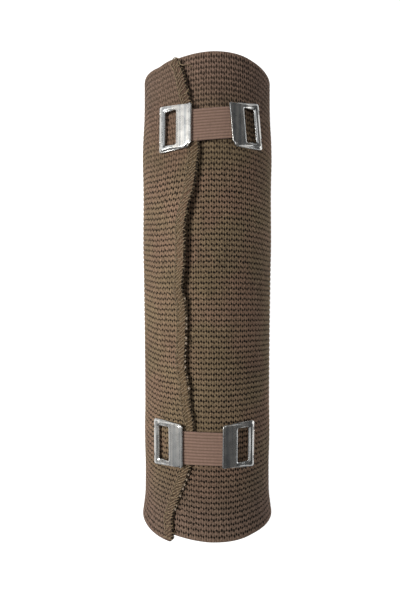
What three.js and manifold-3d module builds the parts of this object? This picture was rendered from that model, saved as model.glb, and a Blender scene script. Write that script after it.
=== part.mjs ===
// A compression bandage as it is stored: an elastic knitted strip wound into a tight roll,
// lying on its side, its free end held by two elastic clips with stamped steel clasps.
// Millimetres. X runs across the roll, Y along it, Z up. The origin is on the surface that the
// roll lies on, under the middle of its box.
import * as THREE from "three";
import { mergeVertices } from "three/addons/utils/BufferGeometryUtils.js";
import Module from "manifold-3d";

const wasm = await Module();
wasm.setup();

// Wound strip
const BANDAGE_WIDTH = 150;
const ROLL_RADIUS = 22.2;
const CORE_RADIUS = 2;
const CLOTH = 1.15;
const WINDING_GAP = 0.25;
const FREE_END_DRIFT = 2;

// Clips
const SHEET = 0.5;
const CLASP_DEPTH = 10.4;
const CLASP_FAR_LENGTH = 14.6;
const CLASP_PAD_LENGTH = 13.5;
const CLASP_CORNER = 0.9;
const FAR_BAR = 1.6;
const WINDOW_DEPTH = 3.8;
const WINDOW_LENGTH = 10.1;
const PAD_CROWN = 0.25;
const PAD_LIP = 0.35;
const TONGUE_SHEET = 0.4;
const TONGUE_DEPTH = 3.6;
const TOOTH_WIDTH = 1.6;
const TOOTH_SPACING = 9;
const BAND_WIDTH = 9.7;
const BAND_THICKNESS = 0.7;

// Clearances
const SEAT_GAP = 0.3;
const BAND_GAP = 0.2;
const TOOTH_GAP = 0.3;

// Facets
const SIDES = 28;
const FLAP_STEPS = 5;
const DETAILED_TURNS = 1.2;
const BAND_STEPS = 10;
const CROWN_STEPS = 6;

// The winding from the lower end (along 0) to the upper end (along 1). Radius is a share of
// ROLL_RADIUS, freeEnd the angle in degrees of the free edge to the left of the top, lift the
// height of that edge off the turn below as a share of CLOTH. The core rows shape every turn.
const WINDING = [
  { along: 0.0, radius: 1.016, freeEnd: 31.0, lift: 0.3, core: true },
  { along: 0.06, radius: 0.972, freeEnd: 27.5, lift: 0.7, core: true },
  { along: 0.12, radius: 0.975, freeEnd: 17.0, lift: 0.2, core: false },
  { along: 0.19, radius: 0.984, freeEnd: 11.6, lift: 0.0, core: false },
  { along: 0.26, radius: 0.979, freeEnd: 12.8, lift: 0.1, core: false },
  { along: 0.4, radius: 0.985, freeEnd: 16.5, lift: 0.7, core: false },
  { along: 0.54, radius: 0.998, freeEnd: 19.3, lift: 1.3, core: false },
  { along: 0.65, radius: 1.011, freeEnd: 17.2, lift: 1.2, core: false },
  { along: 0.75, radius: 1.007, freeEnd: 10.0, lift: 0.5, core: false },
  { along: 0.82, radius: 1.017, freeEnd: 6.8, lift: 0.0, core: false },
  { along: 0.9, radius: 0.999, freeEnd: 13.3, lift: 0.1, core: false },
  { along: 1.0, radius: 0.99, freeEnd: 27.0, lift: 0.3, core: true },
];

// Where each clasp sits. Angle is in degrees to the left of the top, along a share of
// BANDAGE_WIDTH up from the middle, turn its twist in degrees anticlockwise from above.
const CLIPS = [
  {
    name: "upper_clip",
    left: { angle: 24.0, along: 0.344, turn: -1.0 },
    right: { angle: -31.8, along: 0.355, turn: 4.0 },
  },
  {
    name: "lower_clip",
    left: { angle: 31.0, along: -0.301, turn: -1.3 },
    right: { angle: -25.3, along: -0.305, turn: 1.2 },
  },
];

const FULL_TURN = 360;
const PITCH = CLOTH + WINDING_GAP;
const STEP_ANGLE = FULL_TURN / SIDES;
const FLAP_JOIN = 4 * STEP_ANGLE;
const NARROWEST = Math.min(...WINDING.map((row) => row.radius));
const REST_RADIUS = ROLL_RADIUS * NARROWEST - PITCH / SIDES;
const AXIS_HEIGHT = REST_RADIUS * Math.cos(THREE.MathUtils.degToRad(STEP_ANGLE));
const WOUND_STEPS = Math.floor(((ROLL_RADIUS - CORE_RADIUS) / PITCH) * SIDES);
const DRIFT_ANGLE = 120;

const clothFinish = new THREE.MeshStandardMaterial({ color: 0x7b6f60, roughness: 0.95, metalness: 0 });
const bandFinish = new THREE.MeshStandardMaterial({ color: 0x8b7166, roughness: 0.9, metalness: 0 });
const steelFinish = new THREE.MeshStandardMaterial({ color: 0xb9b7b3, roughness: 0.35, metalness: 1 });

// Outer radius of the strip at an angle wound inwards from the top, on the row given. The turns
// are flattened where the roll rests, the outermost one to a plane and the inner ones less.
function outerRadius(angle, row) {
  const round = ROLL_RADIUS * row.radius + PITCH * (0.5 - angle / FULL_TURN);
  const down = -Math.cos(THREE.MathUtils.degToRad(angle));
  const turnsIn = Math.floor(angle / FULL_TURN);
  const flat = down > 0 ? Math.min(round, (AXIS_HEIGHT - PITCH * turnsIn) / down) : round;
  return THREE.MathUtils.lerp(flat, round, (PITCH * turnsIn) / ROLL_RADIUS);
}

// Shift of the strip towards the lower end as its last quarter turn runs off square.
function drift(angle) {
  return -FREE_END_DRIFT * (1 - THREE.MathUtils.smoothstep(angle, FLAP_JOIN, DRIFT_ANGLE));
}

// One section across the strip: its outer corners up the width, then its inner ones back down.
// Each point carries its place round the section, from 0 to 4, which the stitching follows.
function section(rows, angleOf, liftOf) {
  const side = (row, depth) => {
    const angle = angleOf(row);
    const radius = outerRadius(angle, row) + liftOf(row) - depth;
    const turned = THREE.MathUtils.degToRad(angle);
    const y = (row.along - 0.5) * BANDAGE_WIDTH + drift(angle);
    return new THREE.Vector3(-radius * Math.sin(turned), y, radius * Math.cos(turned));
  };
  const outer = rows.map((row) => ({ place: row.along, point: side(row, 0) }));
  const inner = rows.map((row) => ({ place: 3 - row.along, point: side(row, CLOTH) }));
  return [...outer, ...inner.reverse()];
}

// Sections from the free edge to the core: a flap whose steps follow the free edge, then whole
// steps of the winding, with every row of the table in the outer turns and the core rows inside.
function windingSections() {
  const coreRows = WINDING.filter((row) => row.core);
  const sections = [];
  for (let step = 0; step < FLAP_STEPS; step += 1) {
    const share = step / FLAP_STEPS;
    sections.push(
      section(
        WINDING,
        (row) => THREE.MathUtils.lerp(row.freeEnd, FLAP_JOIN, share),
        (row) => CLOTH * row.lift * (1 - share) ** 2,
      ),
    );
  }
  for (let step = FLAP_JOIN / STEP_ANGLE; step <= WOUND_STEPS; step += 1) {
    const rows = step < DETAILED_TURNS * SIDES ? WINDING : coreRows;
    sections.push(section(rows, () => step * STEP_ANGLE, () => 0));
  }
  return sections;
}

// A closed geometry through sections that may have different numbers of points: each strip of
// faces steps along whichever section's next point comes first round it.
function loft(sections) {
  const corners = [];
  const faces = [];
  const rings = sections.map((ring) =>
    ring.map(({ place, point }) => ({ place, id: corners.push(point) - 1 })),
  );
  for (let k = 0; k + 1 < rings.length; k += 1) {
    const [near, far] = [rings[k], rings[k + 1]];
    const at = (ring, n) => ring[n % ring.length].id;
    const place = (ring, n) => (n < ring.length ? ring[n].place : 4);
    let [i, j] = [0, 0];
    while (i < near.length || j < far.length) {
      if (j >= far.length || (i < near.length && place(near, i + 1) <= place(far, j + 1))) {
        faces.push(at(near, i), at(near, i + 1), at(far, j));
        i += 1;
      } else {
        faces.push(at(near, i), at(far, j + 1), at(far, j));
        j += 1;
      }
    }
  }
  const cap = (ring, flip) => {
    for (let n = 0; n + 1 < ring.length / 2; n += 1) {
      const [a, b] = [ring[n].id, ring[n + 1].id];
      const [c, d] = [ring[ring.length - 2 - n].id, ring[ring.length - 1 - n].id];
      faces.push(...(flip ? [a, c, b, a, d, c] : [a, b, c, a, c, d]));
    }
  };
  cap(rings[0], true);
  cap(rings[rings.length - 1], false);
  const geometry = new THREE.BufferGeometry();
  geometry.setAttribute("position", new THREE.Float32BufferAttribute(corners.flatMap((p) => [...p]), 3));
  geometry.setIndex(faces);
  return geometry;
}

// A geometry as a solid that can be joined and cut, in the frame of the matrix given.
function solid(geometry, matrix = new THREE.Matrix4()) {
  const plain = new THREE.BufferGeometry();
  plain.setAttribute("position", geometry.getAttribute("position").clone());
  if (geometry.index) plain.setIndex(geometry.index.clone());
  plain.applyMatrix4(matrix);
  const merged = mergeVertices(plain, 1e-4);
  return new wasm.Manifold(
    new wasm.Mesh({
      numProp: 3,
      vertProperties: new Float32Array(merged.getAttribute("position").array),
      triVerts: new Uint32Array(merged.index.array),
    }),
  );
}

function geometryOf(body) {
  const mesh = body.getMesh();
  const geometry = new THREE.BufferGeometry();
  geometry.setAttribute("position", new THREE.BufferAttribute(mesh.vertProperties, 3));
  geometry.setIndex(new THREE.BufferAttribute(mesh.triVerts, 1));
  const loose = geometry.toNonIndexed();
  loose.computeVertexNormals();
  return loose;
}

function namedMesh(name, geometry, finish) {
  const mesh = new THREE.Mesh(geometry, finish);
  mesh.name = name;
  return mesh;
}

// The winding's shape between two rows of its table.
function rowAt(along) {
  const above = WINDING.findIndex((row) => row.along > along);
  const [low, high] = [WINDING[above - 1], WINDING[above]];
  const share = (along - low.along) / (high.along - low.along);
  return { along, radius: THREE.MathUtils.lerp(low.radius, high.radius, share) };
}

// The frame of a clasp on the cloth: X round the roll to the right, Y along it, Z off the cloth.
// The left clasp lies on the flap, the right one on the turn that runs in under it.
function claspFrame({ angle, along, turn }, isRight) {
  const wound = isRight ? FULL_TURN + angle : angle;
  const radius = outerRadius(wound, rowAt(along + 0.5));
  const turned = THREE.MathUtils.degToRad(angle);
  const frame = new THREE.Object3D();
  frame.position.set(-radius * Math.sin(turned), along * BANDAGE_WIDTH, radius * Math.cos(turned));
  frame.rotation.set(0, -turned, THREE.MathUtils.degToRad(turn), "YXZ");
  frame.updateMatrix();
  return frame.matrix;
}

// Clasp heights above the cloth at its middle, and its stations across from the far edge.
const TONGUE_TOP = SEAT_GAP + TONGUE_SHEET;
const BAND_MIDDLE = TONGUE_TOP + BAND_GAP + BAND_THICKNESS / 2;
const PAD_UNDERSIDE = TONGUE_TOP + BAND_GAP + BAND_THICKNESS + BAND_GAP;
const FAR_EDGE = -CLASP_DEPTH / 2;
const WINDOW_START = FAR_EDGE + FAR_BAR;
const PAD_START = WINDOW_START + WINDOW_DEPTH;
const PAD_EDGE = CLASP_DEPTH / 2;
const CLOTH_FALL = FAR_EDGE ** 2 / (2 * ROLL_RADIUS);
const TOOTH_LENGTH = SEAT_GAP + SHEET + CLOTH_FALL + CLOTH;

function extrudeAlong(points, length, holes = []) {
  const shape = new THREE.Shape(points.map(([x, y]) => new THREE.Vector2(x, y)));
  shape.holes = holes.map((hole) => new THREE.Path(hole.map(([x, y]) => new THREE.Vector2(x, y))));
  return new THREE.ExtrudeGeometry(shape, { depth: length, bevelEnabled: false });
}

// Turns an extruded side profile (across, height) so that its length runs along Y.
function acrossRoll(length) {
  return new THREE.Matrix4().makeTranslation(0, length / 2, 0).multiply(new THREE.Matrix4().makeRotationX(Math.PI / 2));
}

// A stamped clasp: a sheet that rises from its far bar past the window to a crowned pad, whose
// punched-out tongue is folded back under the pad, with two teeth bent down at the far edge.
function claspSolid() {
  const underside = [
    [FAR_EDGE, SEAT_GAP],
    [WINDOW_START, SEAT_GAP],
  ];
  for (let step = 0; step <= CROWN_STEPS; step += 1) {
    const share = step / CROWN_STEPS;
    const crown = PAD_CROWN * (1 - (2 * share - 1) ** 2);
    underside.push([THREE.MathUtils.lerp(PAD_START, PAD_EDGE - PAD_LIP, share), PAD_UNDERSIDE + crown]);
  }
  underside.push([PAD_EDGE, PAD_UNDERSIDE - PAD_LIP / 2]);
  const upperSide = underside.map(([x, height]) => [x, height + SHEET]).reverse();
  const sheet = solid(extrudeAlong([...underside, ...upperSide], CLASP_FAR_LENGTH), acrossRoll(CLASP_FAR_LENGTH));

  const [farHalf, padHalf, cut] = [CLASP_FAR_LENGTH / 2, CLASP_PAD_LENGTH / 2, CLASP_CORNER];
  const outline = [
    [FAR_EDGE + cut / 2, -farHalf],
    [PAD_EDGE - cut, -padHalf],
    [PAD_EDGE, -padHalf + cut],
    [PAD_EDGE, padHalf - cut],
    [PAD_EDGE - cut, padHalf],
    [FAR_EDGE + cut / 2, farHalf],
    [FAR_EDGE, farHalf - cut / 2],
    [FAR_EDGE, -farHalf + cut / 2],
  ];
  const window = [
    [WINDOW_START, -WINDOW_LENGTH / 2],
    [WINDOW_START, WINDOW_LENGTH / 2],
    [PAD_START, WINDOW_LENGTH / 2],
    [PAD_START, -WINDOW_LENGTH / 2],
  ];
  const plan = solid(extrudeAlong(outline, 2 * (PAD_UNDERSIDE + SHEET), [window]));

  const foldTop = PAD_UNDERSIDE + SHEET / 2;
  const tongue = [
    [PAD_START, SEAT_GAP],
    [PAD_START + TONGUE_DEPTH, SEAT_GAP],
    [PAD_START + TONGUE_DEPTH, TONGUE_TOP],
    [PAD_START + TONGUE_SHEET, TONGUE_TOP],
    [PAD_START + TONGUE_SHEET, foldTop],
    [PAD_START, foldTop],
  ];
  const tongueLength = WINDOW_LENGTH - 2 * SEAT_GAP;
  let clasp = sheet.intersect(plan).add(solid(extrudeAlong(tongue, tongueLength), acrossRoll(tongueLength)));
  for (const side of [-1, 1]) {
    clasp = clasp.add(solid(toothGeometry(TOOTH_WIDTH, SHEET, TOOTH_LENGTH, 0), toothPlace(side)));
  }
  return clasp;
}

// A pointed prong seen along X, from its root down to its tip, or the blunt pocket round it.
function toothGeometry(width, thickness, length, tipWidth) {
  const points = [
    [-width / 2, 0],
    [-tipWidth / 2 - SHEET / 4, -length],
    [tipWidth / 2 + SHEET / 4, -length],
    [width / 2, 0],
  ];
  return extrudeAlong(points, thickness).translate(0, 0, -thickness / 2);
}

// Stands a tooth under the far edge: its width along the roll, its length down into the cloth.
function toothPlace(side) {
  const [acrossClasp, alongRoll, offCloth] = [0, 1, 2].map((axis) =>
    new THREE.Vector3().setComponent(axis, 1),
  );
  return new THREE.Matrix4()
    .makeBasis(alongRoll, offCloth, acrossClasp)
    .setPosition(FAR_EDGE + SHEET / 2, (side * TOOTH_SPACING) / 2, SEAT_GAP + SHEET);
}

// The elastic band from inside the left clasp to inside the right one: flat in each clasp's own
// plane, and one smooth bend between their pads.
function bandGeometry(left, right) {
  const bandStart = PAD_START + TONGUE_SHEET + SEAT_GAP;
  const exit = PAD_EDGE + BAND_GAP;
  const inClasp = (frame, x, y) => new THREE.Vector3(x, y, BAND_MIDDLE).applyMatrix4(frame);
  const span = inClasp(left, exit, 0).distanceTo(inClasp(right, exit, 0));
  const bend = new THREE.CubicBezierCurve3(
    inClasp(left, exit, 0),
    inClasp(left, exit + span / 3, 0),
    inClasp(right, exit + span / 3, 0),
    inClasp(right, exit, 0),
  );
  const path = [inClasp(left, bandStart, 0)];
  for (let step = 0; step <= BAND_STEPS; step += 1) path.push(bend.getPoint(step / BAND_STEPS));
  path.push(inClasp(right, bandStart, 0));

  const leftWidth = new THREE.Vector3(0, 1, 0).transformDirection(left);
  const rightWidth = new THREE.Vector3(0, -1, 0).transformDirection(right);
  const sections = path.map((middle, n) => {
    const ahead = path[Math.min(n + 1, path.length - 1)].clone();
    const along = ahead.sub(path[Math.max(n - 1, 0)]).normalize();
    const across = leftWidth.clone().lerp(rightWidth, n / (path.length - 1)).normalize();
    const off = new THREE.Vector3().crossVectors(along, across).normalize();
    const corner = (w, t) =>
      middle.clone().addScaledVector(across, (w * BAND_WIDTH) / 2).addScaledVector(off, (t * BAND_THICKNESS) / 2);
    return [
      { place: 0, point: corner(1, 1) },
      { place: 1, point: corner(-1, 1) },
      { place: 2, point: corner(-1, -1) },
      { place: 3, point: corner(1, -1) },
    ];
  });
  return loft(sections);
}

const roll = new THREE.Group();
const clasp = claspSolid();
const claspGeometry = geometryOf(clasp);
let winding = solid(loft(windingSections()));

for (const clip of CLIPS) {
  const left = claspFrame(clip.left, false);
  const right = claspFrame({ ...clip.right, turn: clip.right.turn + FULL_TURN / 2 }, true);
  const sides = [
    { side: "left", frame: left },
    { side: "right", frame: right },
  ];
  for (const { side, frame } of sides) {
    const mesh = namedMesh(`${clip.name}_${side}_clasp`, claspGeometry, steelFinish);
    mesh.applyMatrix4(frame);
    roll.add(mesh);
    for (const tooth of [-1, 1]) {
      const pocket = toothGeometry(
        TOOTH_WIDTH + 2 * TOOTH_GAP,
        SHEET + 2 * TOOTH_GAP,
        TOOTH_LENGTH + TOOTH_GAP,
        TOOTH_WIDTH / 2,
      );
      winding = winding.subtract(solid(pocket, frame.clone().multiply(toothPlace(tooth))));
    }
  }
  roll.add(namedMesh(`${clip.name}_band`, bandGeometry(left, right), bandFinish));
}
roll.add(namedMesh("bandage", geometryOf(winding), clothFinish));

// The roll lies on its flattened underside, with the origin under the middle of its box.
const box = new THREE.Box3().setFromObject(roll);
const middle = box.getCenter(new THREE.Vector3());
roll.position.set(-middle.x, -middle.y, -box.min.z);

const compressionBandage = new THREE.Group();
compressionBandage.add(roll);

export default compressionBandage;
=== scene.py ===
import math
import bpy
import numpy as np
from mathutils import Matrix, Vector


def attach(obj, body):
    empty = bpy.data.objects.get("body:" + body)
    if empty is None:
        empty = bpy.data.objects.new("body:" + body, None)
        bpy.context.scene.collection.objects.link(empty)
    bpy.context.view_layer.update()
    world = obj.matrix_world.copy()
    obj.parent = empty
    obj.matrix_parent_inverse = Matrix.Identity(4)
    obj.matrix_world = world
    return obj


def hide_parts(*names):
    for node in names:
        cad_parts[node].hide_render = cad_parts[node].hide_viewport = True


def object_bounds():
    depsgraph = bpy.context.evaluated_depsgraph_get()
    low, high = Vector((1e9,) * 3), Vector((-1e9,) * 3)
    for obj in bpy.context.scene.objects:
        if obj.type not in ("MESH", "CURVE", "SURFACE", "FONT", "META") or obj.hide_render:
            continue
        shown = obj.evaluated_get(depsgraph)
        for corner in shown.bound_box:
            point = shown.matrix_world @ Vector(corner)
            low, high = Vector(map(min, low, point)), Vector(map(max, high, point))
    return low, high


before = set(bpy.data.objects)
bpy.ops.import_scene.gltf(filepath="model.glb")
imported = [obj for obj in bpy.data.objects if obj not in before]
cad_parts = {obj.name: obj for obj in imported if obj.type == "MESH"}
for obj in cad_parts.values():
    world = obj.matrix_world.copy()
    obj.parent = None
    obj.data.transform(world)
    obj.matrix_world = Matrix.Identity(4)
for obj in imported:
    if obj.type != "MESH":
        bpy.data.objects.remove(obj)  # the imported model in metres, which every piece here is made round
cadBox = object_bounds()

mm = 0.001


# Shared helpers

def toLinear(hexColour):
    # sRGB hex to linear light: the low part is a straight line, the rest a power of 2.4
    channels = np.array([int(hexColour[i:i + 2], 16) / 255 for i in (1, 3, 5)])
    low, high = channels / 12.92, ((channels + 0.055) / 1.055) ** 2.4
    return (*np.where(channels <= 0.04045, low, high), 1.0)


def addNode(tree, kind, settings=None, inputs=()):
    # one shader node with its settings, and its inputs, by name or in order, as values or as
    # other nodes' sockets
    node = tree.nodes.new("ShaderNode" + kind)
    for name, value in (settings or {}).items():
        setattr(node, name, value)
    for name, value in inputs.items() if isinstance(inputs, dict) else enumerate(inputs):
        if isinstance(value, bpy.types.NodeSocket):
            tree.links.new(value, node.inputs[name])
        else:
            node.inputs[name].default_value = value
    return node


# for each kind of node that a table may hold: its fixed settings, the setting that a row gives,
# the numbers of the inputs that the row fills, and the output that it hands on
tableKinds = {
    "Math": ({}, "operation", (0, 1, 2), 0),
    "MapRange": ({}, "interpolation_type", (0, 1, 2, 3, 4), 0),
    "Mix": ({"data_type": "RGBA"}, "blend_type", (0, 6, 7), 2),
}


def addTable(tree, sockets, table):
    # a node for each row, in order: the name of its result, its kind, its main setting and its
    # inputs, which are numbers, colours as hex or the names of sockets and of earlier results
    for name, kind, setting, *inputs in table:
        fixed, key, numbers, output = tableKinds[kind]
        for k, value in enumerate(inputs):
            if isinstance(value, str):
                inputs[k] = toLinear(value) if value[0] == "#" else sockets[value]
        node = addNode(tree, kind, {**fixed, key: setting}, dict(zip(numbers, inputs)))
        sockets[name] = node.outputs[output]


def newMaterial(name):
    material = bpy.data.materials.new(name)
    material.use_nodes = True
    tree = material.node_tree
    tree.nodes.clear()
    shader = addNode(tree, "BsdfPrincipled")
    addNode(tree, "OutputMaterial", inputs={"Surface": shader.outputs[0]})
    return material, tree, shader


def smoothStep(low, high, value):
    # 0 below low, 1 above high and the cubic 3t^2 - 2t^3 between them
    share = np.clip((value - low) / (high - low), 0, 1)
    return share * share * (3 - 2 * share)


def curveThrough(at, stations, values):
    # a smooth curve through a short table: a cubic between each two rows, whose slope at a row
    # is the slope from the row before it to the row after it
    stations, values = np.array(stations, float), np.array(values, float)
    at = np.clip(at, stations[0], stations[-1])
    slopes = np.gradient(values, stations)
    row = np.clip(np.searchsorted(stations, at, side="right") - 1, 0, len(stations) - 2)
    gap = stations[row + 1] - stations[row]
    t = (at - stations[row]) / gap
    start = (2 * t**3 - 3 * t**2 + 1) * values[row] + (t**3 - 2 * t**2 + t) * gap * slopes[row]
    end = (3 * t**2 - 2 * t**3) * values[row + 1] + (t**3 - t**2) * gap * slopes[row + 1]
    return start + end


def gridFaces(rows, columns, closeRows=False, closeColumns=False, first=0):
    # corner numbers of the quads of a rows x columns grid of points, wrapped round where closed
    i = np.arange(rows if closeRows else rows - 1)[:, None]
    j = np.arange(columns if closeColumns else columns - 1)[None, :]
    nextI, nextJ = (i + 1) % rows, (j + 1) % columns
    corners = [i * columns + j, nextI * columns + j, nextI * columns + nextJ, i * columns + nextJ]
    return first + np.stack([c + 0 * i + 0 * j for c in corners], axis=-1).reshape(-1, 4)


def meshPiece(name, points, quads, material, triangles=None, uv=None):
    # a smooth mesh from whole arrays: points, faces and, where the finish needs it, a UV in metres
    triangles = np.zeros((0, 3), int) if triangles is None else triangles
    corners = np.concatenate([quads.reshape(-1), triangles.reshape(-1)]).astype(np.int32)
    counts = np.concatenate([np.full(len(quads), 4), np.full(len(triangles), 3)])
    starts = np.concatenate([[0], np.cumsum(counts)[:-1]]).astype(np.int32)
    mesh = bpy.data.meshes.new(name)
    mesh.vertices.add(len(points))
    mesh.vertices.foreach_set("co", np.asarray(points, np.float32).reshape(-1))
    mesh.loops.add(len(corners))
    mesh.loops.foreach_set("vertex_index", corners)
    mesh.polygons.add(len(counts))
    mesh.polygons.foreach_set("loop_start", starts)
    mesh.update(calc_edges=True)
    mesh.polygons.foreach_set("use_smooth", np.full(len(counts), True))
    if uv is not None:
        layer = mesh.uv_layers.new(name="cloth")
        layer.data.foreach_set("uv", np.asarray(uv, np.float32)[corners].reshape(-1))
    mesh.validate()
    piece = bpy.data.objects.new(name, mesh)
    bpy.context.scene.collection.objects.link(piece)
    mesh.materials.append(material)
    return piece


def finishPiece(piece, slot, *nodes):
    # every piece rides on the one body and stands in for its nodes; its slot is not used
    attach(piece, "root")
    if nodes:
        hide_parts(*nodes)
    return piece


# The winding

roll = {
    "width": 150,  # of the strip, all in mm
    "radius": 22.2,
    "cloth": 1.15,
    "gap": 0.25,  # between turns
    "coreRadius": 2.3,
    "crest": 0.15,  # the knit's crests stand this far above the solid
    "sides": 28,  # facets that the solid's flat is worked out from
    "flapMean": 16,  # degrees from the top to the free end, on average
    "flapReach": 38,  # the free edge's waves die out over this length
    "liftReach": 9,  # and its lift over this one
    "hemReach": 6,  # and the round of its corners and the press of its stitches over this one
    "pressLow": 0.35,  # how far the stitches press the hem down, at the strip's lower end
    "pressHigh": 0.2,  # and at its upper end
    "corner": 1.0,  # round of the free end's two corners
    "turnEnd": 404,  # degrees where the fine outer turn hands over to the inner turns
}
# along: share of the width from the lower end. radius: share of the radius. freeEnd: degrees from
# the top to the free edge. lift: mm that the edge stands off. sag: mm that the rows near the free
# end hang below a straight line between the strip's two edges.
windingTable = np.array([
    # along, radius, freeEnd, lift, sag
    (0.000, 1.016, 30.8, 0.2, 0.0),
    (0.020, 0.998, 29.9, 0.3, 0.2),
    (0.045, 0.978, 31.7, 0.3, 0.4),
    (0.080, 0.972, 27.8, 0.1, 0.6),
    (0.120, 0.972, 21.9, 0.1, 0.8),
    (0.170, 0.981, 14.9, 0.15, 1.0),
    (0.210, 0.983, 12.3, 0.15, 1.2),
    (0.257, 0.979, 12.6, 0.2, 1.5),
    (0.304, 0.980, 15.3, 0.35, 1.8),
    (0.345, 0.982, 16.6, 0.5, 1.9),
    (0.375, 0.984, 18.8, 0.6, 2.0),
    (0.433, 0.988, 18.3, 0.55, 2.1),
    (0.515, 0.997, 18.7, 0.85, 2.1),
    (0.537, 0.999, 20.3, 1.2, 2.0),
    (0.570, 1.003, 19.1, 1.35, 2.0),
    (0.620, 1.010, 18.0, 1.6, 1.8),
    (0.658, 1.010, 18.1, 1.6, 1.5),
    (0.700, 1.008, 15.2, 1.5, 1.1),
    (0.733, 1.007, 11.7, 1.05, 0.7),
    (0.776, 1.011, 9.2, 0.7, 0.4),
    (0.815, 1.017, 8.0, 0.4, 0.4),
    (0.860, 1.012, 10.5, 0.3, 0.5),
    (0.914, 0.993, 15.2, 0.4, 0.4),
    (0.950, 0.989, 18.7, 0.8, 0.2),
    (0.972, 0.989, 20.9, 0.6, 0.15),
    (0.987, 0.989, 23.9, 0.5, 0.1),
    (1.000, 0.990, 25.6, 0.3, 0.0),
]).T
# how far the strip's upper and lower edges have run down, in mm, by degrees wound from the top
edgeTable = np.array([
    # angle, upper, lower
    (10, 1.00, 1.40),
    (36, 1.20, 1.35),
    (46, 1.50, 1.25),
    (54, 1.10, 1.10),
    (64, 0.65, 0.80),
    (90, 0.30, 0.40),
    (180, 0.10, 0.40),
    (270, 0.60, 0.15),
    (298, 0.60, 0.12),
    (313, 0.15, 0.15),
    (320, -0.08, 0.18),
    (328, -0.42, 0.42),
    (340, -0.62, 0.55),
    (352, -0.58, 0.45),
    (360, -0.45, 0.35),
    (370, -0.15, 0.08),
    (385, 0.30, -0.25),
    (410, 0.30, -0.20),
    (440, 0.00, 0.00),
]).T
tableAlong, tableRadius, tableFreeEnd, tableLift, tableSag = windingTable
pitch = roll["cloth"] + roll["gap"]
restRadius = roll["radius"] * tableRadius.min() - pitch / roll["sides"]
axisHeight = restRadius * math.cos(2 * math.pi / roll["sides"])
axisX = (cadBox[0][0] + cadBox[1][0]) / 2 / mm + pitch / 4
middleY = cadBox[1][1] / mm - roll["width"] / 2


def windRadius(angle, along):
    # the strip's outer radius: the table's share of the radius and the crest, less one pitch a
    # turn, and cut to a level plane underneath, where each turn further in is flattened less
    turnsIn = np.floor(angle / 360)
    free = roll["radius"] * curveThrough(along, tableAlong, tableRadius) + pitch * (0.5 - angle / 360)
    free = free + roll["crest"]
    down = np.maximum(-np.cos(np.radians(angle)), 1e-6)
    flat = np.minimum(free, (axisHeight - pitch * turnsIn) / down)
    return flat + (free - flat) * pitch * turnsIn / roll["radius"]


def rowDrop(angle, along):
    # how far the knit's rows have run down: a straight line across the strip between its two
    # edges' own drops, and the table's sag, which grows over the last quarter turn to the free end
    lower, upper = (curveThrough(angle, edgeTable[0], edgeTable[k]) for k in (2, 1))
    sag = curveThrough(along, tableAlong, tableSag) * (1 - smoothStep(20, 120, angle))
    return lower + (upper - lower) * along + sag


def onRoll(angle, along, depth=0.0):
    # a point of the roll in metres: angle wound inwards from the top to the left, share of the
    # width, and depth in mm below the outer face
    angle, along, depth = np.broadcast_arrays(*(np.asarray(x, float) for x in (angle, along, depth)))
    out = windRadius(angle, along) - depth
    turned = np.radians(angle)
    x = axisX - out * np.sin(turned)
    y = middleY + (along - 0.5) * roll["width"] - rowDrop(angle, along)
    z = axisHeight + out * np.cos(turned)
    return np.stack([x, y, z], axis=-1) * mm


def flapAngle(reach, along):
    # degrees round the roll of a point of the strip reach mm in from its free edge: the edge's
    # own waves fade out, and past them the strip runs square. A quarter circle takes off each
    # corner
    fade = 1 - smoothStep(0, roll["flapReach"], reach)
    wave = curveThrough(along, tableAlong, tableFreeEnd) - roll["flapMean"]
    toEnd = np.clip(1 - (0.5 - np.abs(along - 0.5)) * roll["width"] / roll["corner"], 0, 1)
    corner = roll["corner"] * (1 - np.sqrt(1 - toEnd**2)) * np.clip(1 - reach / roll["hemReach"], 0, 1)
    return roll["flapMean"] + wave * fade + np.degrees((reach + corner) / (roll["radius"] + pitch / 2))


def flapLift(reach, along):
    # how far the cloth near the free edge stands off: the table's lift, dying out by a square
    return curveThrough(along, tableAlong, tableLift) * np.clip(1 - reach / roll["liftReach"], 0, 1) ** 2


def hemPress(reach, along):
    # how far the stitches have pressed the hem's face down, in mm: most at the strip's lower end,
    # less at its upper end, nothing in the middle, and dying out by a square
    press = roll["pressLow"] * (1 - smoothStep(0.16, 0.3, along))
    press = press + roll["pressHigh"] * smoothStep(0.72, 0.86, along)
    return press * np.clip(1 - reach / roll["hemReach"], 0, 1) ** 2


# The knit

knit = {
    "rowPitch": 150 / 91,  # mm from one row of holes to the next, 91 rows to the width
    "holePitch": 0.85,  # mm from hole to hole along a row
    "zigzag": 0.12,  # holes stand this share of a row up and down by turns
    "rowDepth": 0.16,  # mm, the dip along a row of holes
    "holeDepth": 0.34,  # mm, a hole
    "strandDepth": 0.07,  # mm, the grooves between upright strands
    "perRow": 4,  # points of the mesh from row to row
    "perHole": 3,  # and from hole to hole
    "innerPoints": 49,  # across the plain inner face
    "edgePoints": 5,  # and round each edge of the strip's section
    "selvedge": 0.5,  # mm, the round of the strip's edges
    "endRound": 0.45,  # mm, the round of its free end
    "reliefFrom": (2.0, 3.4),  # mm in from the free edge, where the relief comes out of the hem
    "openFrom": (2.1, 3.3),  # mm in from it, where the holes do
    "flapHoles": (16, 26),  # holes in from it, where the flap's softer look ends
    "tallRows": (64, 82),  # rows up the strip, from where to where the holes grow taller
    "shutRows": (66, 76),  # and where they close
}


def knitDepth(hole, row):
    # depth in mm of the knit's face below its crests, hole and row counted in pitches: a dip
    # along each zigzag row, a pit at each whole hole number in it, and grooves up the strands
    across = 0.5 + 0.5 * np.cos(2 * np.pi * hole)
    up = 0.5 + 0.5 * np.cos(2 * np.pi * (row + knit["zigzag"] * np.cos(np.pi * hole)))
    return knit["rowDepth"] * up**2 + knit["holeDepth"] * across * up**3 + knit["strandDepth"] * across


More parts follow.
